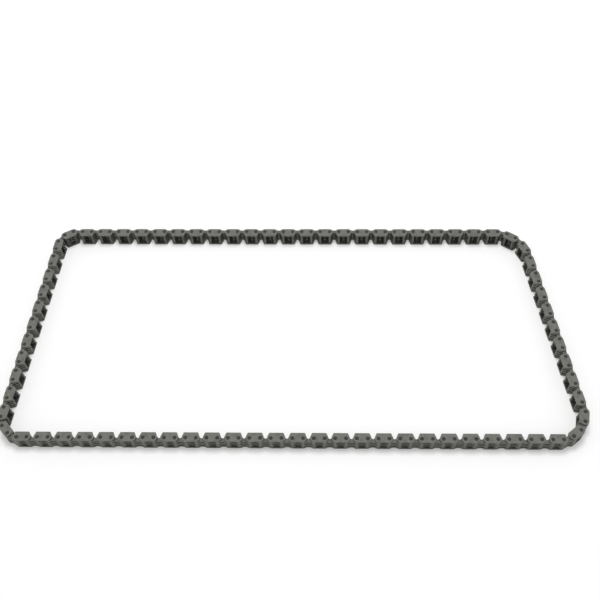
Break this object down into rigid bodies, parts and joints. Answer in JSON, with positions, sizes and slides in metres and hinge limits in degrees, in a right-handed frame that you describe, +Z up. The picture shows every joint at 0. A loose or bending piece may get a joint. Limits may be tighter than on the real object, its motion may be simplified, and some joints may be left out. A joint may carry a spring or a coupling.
{
  "type": "silent cam chain",
  "caption": "Silent cam chain lying flat in its four-cornered engine loop: guide links and toothed inner links on round pins.",
  "frame": {"origin": "middle of the loop's outline, on the plane that the pin ends stand on", "axes": "+X along the near run to the right, +Y from the near run to the far run, +Z up along the pins"},
  "size_m": [0.4482, 0.2002, 0.0129],
  "materials": {
    "guide_steel": "dark oiled steel, satin",
    "toothed_steel": "dark oiled steel, satin",
    "pin_steel": "hardened dark steel, satin"
  },
  "bodies": {
    "right_side": {"right_side_guide_plates": "guide_steel", "right_side_middle_plates": "toothed_steel", "right_side_inner_plates": "toothed_steel", "right_side_pins": "pin_steel"},
    "left_side": {"left_side_guide_plates": "guide_steel", "left_side_middle_plates": "toothed_steel", "left_side_inner_plates": "toothed_steel", "left_side_pins": "pin_steel"},
    "near_left_span": {"near_left_span_guide_plates": "guide_steel", "near_left_span_middle_plates": "toothed_steel", "near_left_span_inner_plates": "toothed_steel", "near_left_span_pins": "pin_steel"},
    "near_middle_span": {"near_middle_span_guide_plates": "guide_steel", "near_middle_span_middle_plates": "toothed_steel", "near_middle_span_inner_plates": "toothed_steel", "near_middle_span_pins": "pin_steel"},
    "near_right_span": {"near_right_span_guide_plates": "guide_steel", "near_right_span_middle_plates": "toothed_steel", "near_right_span_inner_plates": "toothed_steel", "near_right_span_pins": "pin_steel"},
    "far_right_span": {"far_right_span_guide_plates": "guide_steel", "far_right_span_middle_plates": "toothed_steel", "far_right_span_inner_plates": "toothed_steel", "far_right_span_pins": "pin_steel"},
    "far_middle_span": {"far_middle_span_guide_plates": "guide_steel", "far_middle_span_middle_plates": "toothed_steel", "far_middle_span_inner_plates": "toothed_steel", "far_middle_span_pins": "pin_steel"},
    "far_left_span": {"far_left_span_guide_plates": "guide_steel", "far_left_span_middle_plates": "toothed_steel", "far_left_span_inner_plates": "toothed_steel", "far_left_span_pins": "pin_steel"},
    "near_guide_link_4": {"near_guide_link_4": "guide_steel"},
    "near_inner_link_5": {"near_inner_link_5": "toothed_steel"},
    "near_guide_link_16": {"near_guide_link_16": "guide_steel"},
    "near_inner_link_17": {"near_inner_link_17": "toothed_steel"},
    "near_guide_link_18": {"near_guide_link_18": "guide_steel"},
    "near_inner_link_19": {"near_inner_link_19": "toothed_steel"},
    "near_guide_link_20": {"near_guide_link_20": "guide_steel"},
    "near_inner_link_31": {"near_inner_link_31": "toothed_steel"},
    "near_guide_link_32": {"near_guide_link_32": "guide_steel"},
    "near_inner_link_33": {"near_inner_link_33": "toothed_steel"},
    "near_guide_link_34": {"near_guide_link_34": "guide_steel"},
    "near_inner_link_35": {"near_inner_link_35": "toothed_steel"},
    "near_guide_link_46": {"near_guide_link_46": "guide_steel"},
    "near_inner_link_47": {"near_inner_link_47": "toothed_steel"},
    "far_inner_link_79": {"far_inner_link_79": "toothed_steel"},
    "far_guide_link_80": {"far_guide_link_80": "guide_steel"},
    "far_inner_link_91": {"far_inner_link_91": "toothed_steel"},
    "far_guide_link_92": {"far_guide_link_92": "guide_steel"},
    "far_inner_link_93": {"far_inner_link_93": "toothed_steel"},
    "far_guide_link_94": {"far_guide_link_94": "guide_steel"},
    "far_inner_link_95": {"far_inner_link_95": "toothed_steel"},
    "far_guide_link_106": {"far_guide_link_106": "guide_steel"},
    "far_inner_link_107": {"far_inner_link_107": "toothed_steel"},
    "far_guide_link_108": {"far_guide_link_108": "guide_steel"},
    "far_inner_link_109": {"far_inner_link_109": "toothed_steel"},
    "far_guide_link_110": {"far_guide_link_110": "guide_steel"},
    "far_inner_link_121": {"far_inner_link_121": "toothed_steel"},
    "far_guide_link_122": {"far_guide_link_122": "guide_steel"}
  },
  "joints": [
    {"name": "right_third_sway", "type": "hinge", "parent": "right_side", "child": "far_inner_link_79", "pos_m": [0.16561, 0.09521, 0.00647], "axis": [0, 0, 1], "range_deg": [-5, 5]},
    {"name": "far_pin_80", "type": "hinge", "parent": "far_inner_link_79", "child": "far_guide_link_80", "pos_m": [0.15761, 0.09526, 0.00647], "axis": [0, 0, 1], "range_deg": [-5, 5]},
    {"name": "far_pin_81", "type": "hinge", "parent": "far_guide_link_80", "child": "far_right_span", "pos_m": [0.14961, 0.0953, 0.00647], "axis": [0, 0, 1], "range_deg": [-5, 5]},
    {"name": "far_pin_91", "type": "hinge", "parent": "far_right_span", "child": "far_inner_link_91", "pos_m": [0.06961, 0.09575, 0.00647], "axis": [0, 0, 1], "range_deg": [-5, 5]},
    {"name": "far_pin_92", "type": "hinge", "parent": "far_inner_link_91", "child": "far_guide_link_92", "pos_m": [0.06161, 0.09579, 0.00647], "axis": [0, 0, 1], "range_deg": [-5, 5]},
    {"name": "far_pin_93", "type": "hinge", "parent": "far_guide_link_92", "child": "far_inner_link_93", "pos_m": [0.05361, 0.09584, 0.00647], "axis": [0, 0, 1], "range_deg": [-5, 5]},
    {"name": "near_pin_48", "type": "hinge", "parent": "right_side", "child": "near_inner_link_47", "pos_m": [0.17803, -0.09722, 0.00647], "axis": [0, 0, 1], "range_deg": [-5, 5]},
    {"name": "near_pin_47", "type": "hinge", "parent": "near_inner_link_47", "child": "near_guide_link_46", "pos_m": [0.17003, -0.09722, 0.00647], "axis": [0, 0, 1], "range_deg": [-5, 5]},
    {"name": "near_pin_46", "type": "hinge", "parent": "near_guide_link_46", "child": "near_right_span", "pos_m": [0.16203, -0.09722, 0.00647], "axis": [0, 0, 1], "range_deg": [-5, 5]},
    {"name": "near_pin_36", "type": "hinge", "parent": "near_right_span", "child": "near_inner_link_35", "pos_m": [0.08203, -0.09722, 0.00647], "axis": [0, 0, 1], "range_deg": [-5, 5]},
    {"name": "near_pin_35", "type": "hinge", "parent": "near_inner_link_35", "child": "near_guide_link_34", "pos_m": [0.07403, -0.09722, 0.00647], "axis": [0, 0, 1], "range_deg": [-5, 5]},
    {"name": "near_pin_34", "type": "hinge", "parent": "near_guide_link_34", "child": "near_inner_link_33", "pos_m": [0.06603, -0.09722, 0.00647], "axis": [0, 0, 1], "range_deg": [-5, 5]},
    {"name": "middle_third_sway", "type": "hinge", "parent": "far_inner_link_93", "child": "far_guide_link_94", "pos_m": [0.04561, 0.09588, 0.00647], "axis": [0, 0, 1], "range_deg": [-5, 5]},
    {"name": "far_pin_95", "type": "hinge", "parent": "far_guide_link_94", "child": "far_inner_link_95", "pos_m": [0.03761, 0.09593, 0.00647], "axis": [0, 0, 1], "range_deg": [-5, 5]},
    {"name": "far_pin_96", "type": "hinge", "parent": "far_inner_link_95", "child": "far_middle_span", "pos_m": [0.02961, 0.09597, 0.00647], "axis": [0, 0, 1], "range_deg": [-5, 5]},
    {"name": "far_pin_106", "type": "hinge", "parent": "far_middle_span", "child": "far_guide_link_106", "pos_m": [-0.05039, 0.09642, 0.00647], "axis": [0, 0, 1], "range_deg": [-5, 5]},
    {"name": "far_pin_107", "type": "hinge", "parent": "far_guide_link_106", "child": "far_inner_link_107", "pos_m": [-0.05839, 0.09646, 0.00647], "axis": [0, 0, 1], "range_deg": [-5, 5]},
    {"name": "far_pin_108", "type": "hinge", "parent": "far_inner_link_107", "child": "far_guide_link_108", "pos_m": [-0.06639, 0.09651, 0.00647], "axis": [0, 0, 1], "range_deg": [-5, 5]},
    {"name": "near_pin_33", "type": "hinge", "parent": "near_inner_link_33", "child": "near_guide_link_32", "pos_m": [0.05803, -0.09722, 0.00647], "axis": [0, 0, 1], "range_deg": [-5, 5]},
    {"name": "near_pin_32", "type": "hinge", "parent": "near_guide_link_32", "child": "near_inner_link_31", "pos_m": [0.05003, -0.09722, 0.00647], "axis": [0, 0, 1], "range_deg": [-5, 5]},
    {"name": "near_pin_31", "type": "hinge", "parent": "near_inner_link_31", "child": "near_middle_span", "pos_m": [0.04203, -0.09722, 0.00647], "axis": [0, 0, 1], "range_deg": [-5, 5]},
    {"name": "near_pin_21", "type": "hinge", "parent": "near_middle_span", "child": "near_guide_link_20", "pos_m": [-0.03797, -0.09722, 0.00647], "axis": [0, 0, 1], "range_deg": [-5, 5]},
    {"name": "near_pin_20", "type": "hinge", "parent": "near_guide_link_20", "child": "near_inner_link_19", "pos_m": [-0.04597, -0.09722, 0.00647], "axis": [0, 0, 1], "range_deg": [-5, 5]},
    {"name": "near_pin_19", "type": "hinge", "parent": "near_inner_link_19", "child": "near_guide_link_18", "pos_m": [-0.05397, -0.09722, 0.00647], "axis": [0, 0, 1], "range_deg": [-5, 5]},
    {"name": "left_third_sway", "type": "hinge", "parent": "far_guide_link_108", "child": "far_inner_link_109", "pos_m": [-0.07439, 0.09655, 0.00647], "axis": [0, 0, 1], "range_deg": [-5, 5]},
    {"name": "far_pin_110", "type": "hinge", "parent": "far_inner_link_109", "child": "far_guide_link_110", "pos_m": [-0.08239, 0.0966, 0.00647], "axis": [0, 0, 1], "range_deg": [-5, 5]},
    {"name": "far_pin_111", "type": "hinge", "parent": "far_guide_link_110", "child": "far_left_span", "pos_m": [-0.09039, 0.09664, 0.00647], "axis": [0, 0, 1], "range_deg": [-5, 5]},
    {"name": "far_pin_121", "type": "hinge", "parent": "far_left_span", "child": "far_inner_link_121", "pos_m": [-0.17039, 0.09709, 0.00647], "axis": [0, 0, 1], "range_deg": [-5, 5]},
    {"name": "far_pin_122", "type": "hinge", "parent": "far_inner_link_121", "child": "far_guide_link_122", "pos_m": [-0.17839, 0.09713, 0.00647], "axis": [0, 0, 1], "range_deg": [-5, 5]},
    {"name": "near_pin_18", "type": "hinge", "parent": "near_guide_link_18", "child": "near_inner_link_17", "pos_m": [-0.06197, -0.09722, 0.00647], "axis": [0, 0, 1], "range_deg": [-5, 5]},
    {"name": "near_pin_17", "type": "hinge", "parent": "near_inner_link_17", "child": "near_guide_link_16", "pos_m": [-0.06997, -0.09722, 0.00647], "axis": [0, 0, 1], "range_deg": [-5, 5]},
    {"name": "near_pin_16", "type": "hinge", "parent": "near_guide_link_16", "child": "near_left_span", "pos_m": [-0.07797, -0.09722, 0.00647], "axis": [0, 0, 1], "range_deg": [-5, 5]},
    {"name": "near_pin_6", "type": "hinge", "parent": "near_left_span", "child": "near_inner_link_5", "pos_m": [-0.15797, -0.09722, 0.00647], "axis": [0, 0, 1], "range_deg": [-5, 5]},
    {"name": "near_pin_5", "type": "hinge", "parent": "near_inner_link_5", "child": "near_guide_link_4", "pos_m": [-0.16597, -0.09722, 0.00647], "axis": [0, 0, 1], "range_deg": [-5, 5]},
    {"name": "near_pin_4", "type": "hinge", "parent": "near_guide_link_4", "child": "left_side", "pos_m": [-0.17397, -0.09722, 0.00647], "axis": [0, 0, 1], "range_deg": [-5, 5]}
  ],
  "couplings": [
    {"joint": "far_pin_80", "follows": "right_third_sway", "ratio": 1},
    {"joint": "far_pin_81", "follows": "right_third_sway", "ratio": 1},
    {"joint": "far_pin_91", "follows": "right_third_sway", "ratio": -0.99722},
    {"joint": "far_pin_92", "follows": "right_third_sway", "ratio": -0.99722},
    {"joint": "far_pin_93", "follows": "right_third_sway", "ratio": -0.99722},
    {"joint": "near_pin_48", "follows": "right_third_sway", "ratio": 0.99963},
    {"joint": "near_pin_47", "follows": "right_third_sway", "ratio": 0.99963},
    {"joint": "near_pin_46", "follows": "right_third_sway", "ratio": 0.99963},
    {"joint": "near_pin_36", "follows": "right_third_sway", "ratio": -0.99685},
    {"joint": "near_pin_35", "follows": "right_third_sway", "ratio": -0.99685},
    {"joint": "near_pin_34", "follows": "right_third_sway", "ratio": -0.99685},
    {"joint": "far_pin_95", "follows": "middle_third_sway", "ratio": 1},
    {"joint": "far_pin_96", "follows": "middle_third_sway", "ratio": 1},
    {"joint": "far_pin_106", "follows": "middle_third_sway", "ratio": -0.99723},
    {"joint": "far_pin_107", "follows": "middle_third_sway", "ratio": -0.99723},
    {"joint": "far_pin_108", "follows": "middle_third_sway", "ratio": -0.99723},
    {"joint": "near_pin_33", "follows": "middle_third_sway", "ratio": 0.99963},
    {"joint": "near_pin_32", "follows": "middle_third_sway", "ratio": 0.99963},
    {"joint": "near_pin_31", "follows": "middle_third_sway", "ratio": 0.99963},
    {"joint": "near_pin_21", "follows": "middle_third_sway", "ratio": -0.99686},
    {"joint": "near_pin_20", "follows": "middle_third_sway", "ratio": -0.99686},
    {"joint": "near_pin_19", "follows": "middle_third_sway", "ratio": -0.99686},
    {"joint": "far_pin_110", "follows": "left_third_sway", "ratio": 1},
    {"joint": "far_pin_111", "follows": "left_third_sway", "ratio": 1},
    {"joint": "far_pin_121", "follows": "left_third_sway", "ratio": -0.99724},
    {"joint": "far_pin_122", "follows": "left_third_sway", "ratio": -0.99724},
    {"joint": "near_pin_18", "follows": "left_third_sway", "ratio": 0.99963},
    {"joint": "near_pin_17", "follows": "left_third_sway", "ratio": 0.99963},
    {"joint": "near_pin_16", "follows": "left_third_sway", "ratio": 0.99963},
    {"joint": "near_pin_6", "follows": "left_third_sway", "ratio": -0.99687},
    {"joint": "near_pin_5", "follows": "left_third_sway", "ratio": -0.99687},
    {"joint": "near_pin_4", "follows": "left_third_sway", "ratio": -0.99687}
  ]
}
